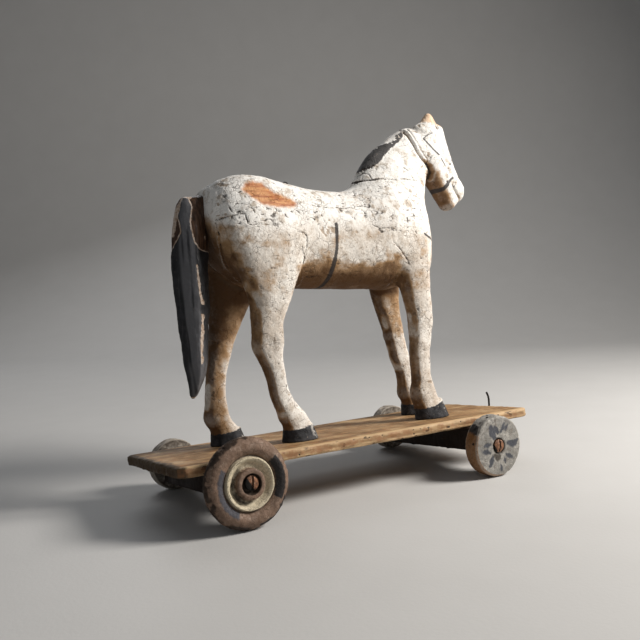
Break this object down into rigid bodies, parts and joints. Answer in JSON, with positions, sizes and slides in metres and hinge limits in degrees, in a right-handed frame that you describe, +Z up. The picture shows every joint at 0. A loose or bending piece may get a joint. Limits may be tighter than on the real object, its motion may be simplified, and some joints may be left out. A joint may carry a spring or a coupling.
{
  "type": "pull-along toy horse",
  "caption": "Carved and painted wooden horse standing on a pine board with four free-turning wooden wheels and a wire hook for a pull cord.",
  "frame": {"origin": "on the floor under the middle of the toy's outer box", "axes": "+X the way the horse faces and is pulled, +Y the horse's left, +Z up"},
  "size_m": [0.3685, 0.1696, 0.3435],
  "materials": {
    "white_ground": "chalk ground and white paint on carved wood, crackled and dirty",
    "tail_black": "black paint on carved wood, flaked along both sides",
    "board_pine": "bare old pine, worn dark along the edges",
    "block_wood": "bare dark wood",
    "peg_wood": "plain hardwood peg",
    "turned_wheel": "worn brown paint with a cream ring and a charcoal band",
    "disc_wheel": "thin grey-white paint with dark brush strokes",
    "small_wheel": "worn greyish paint on wood",
    "iron": "rusty iron"
  },
  "bodies": {
    "horse_on_board": {"platform_board": "board_pine", "rear_axle_block": "block_wood", "front_axle_block": "block_wood", "block_nails": "iron", "pull_hook": "iron", "back_staple": "iron", "horse_body": "white_ground", "head_and_neck": "white_ground", "right_hind_leg": "white_ground", "left_hind_leg": "white_ground", "right_fore_leg": "white_ground", "left_fore_leg": "white_ground", "tail": "tail_black", "tail_peg": "peg_wood", "neck_peg": "peg_wood", "leg_pegs": "peg_wood", "hoof_pegs": "peg_wood", "rear_right_screw": "iron", "front_right_screw": "iron", "rear_left_screw": "iron", "front_left_screw": "iron"},
    "rear_right_wheel_body": {"rear_right_wheel": "turned_wheel"},
    "rear_left_wheel_body": {"rear_left_wheel": "small_wheel"},
    "front_right_wheel_body": {"front_right_wheel": "disc_wheel"},
    "front_left_wheel_body": {"front_left_wheel": "small_wheel"}
  },
  "joints": [
    {"name": "rear_right_spin", "type": "hinge", "parent": "horse_on_board", "child": "rear_right_wheel_body", "pos_m": [-0.1356, -0.06822, 0.03491], "axis": [0, 0.9965, -0.0837], "continuous": true},
    {"name": "rear_left_spin", "type": "hinge", "parent": "horse_on_board", "child": "rear_left_wheel_body", "pos_m": [-0.1356, 0.07588, 0.0228], "axis": [0, 0.9965, -0.0837], "continuous": true},
    {"name": "front_right_spin", "type": "hinge", "parent": "horse_on_board", "child": "front_right_wheel_body", "pos_m": [0.1092, -0.07532, 0.02768], "axis": [0, 0.9995, -0.0332], "continuous": true},
    {"name": "front_left_spin", "type": "hinge", "parent": "horse_on_board", "child": "front_left_wheel_body", "pos_m": [0.1092, 0.07682, 0.02264], "axis": [0, 0.9995, -0.0332], "continuous": true}
  ]
}
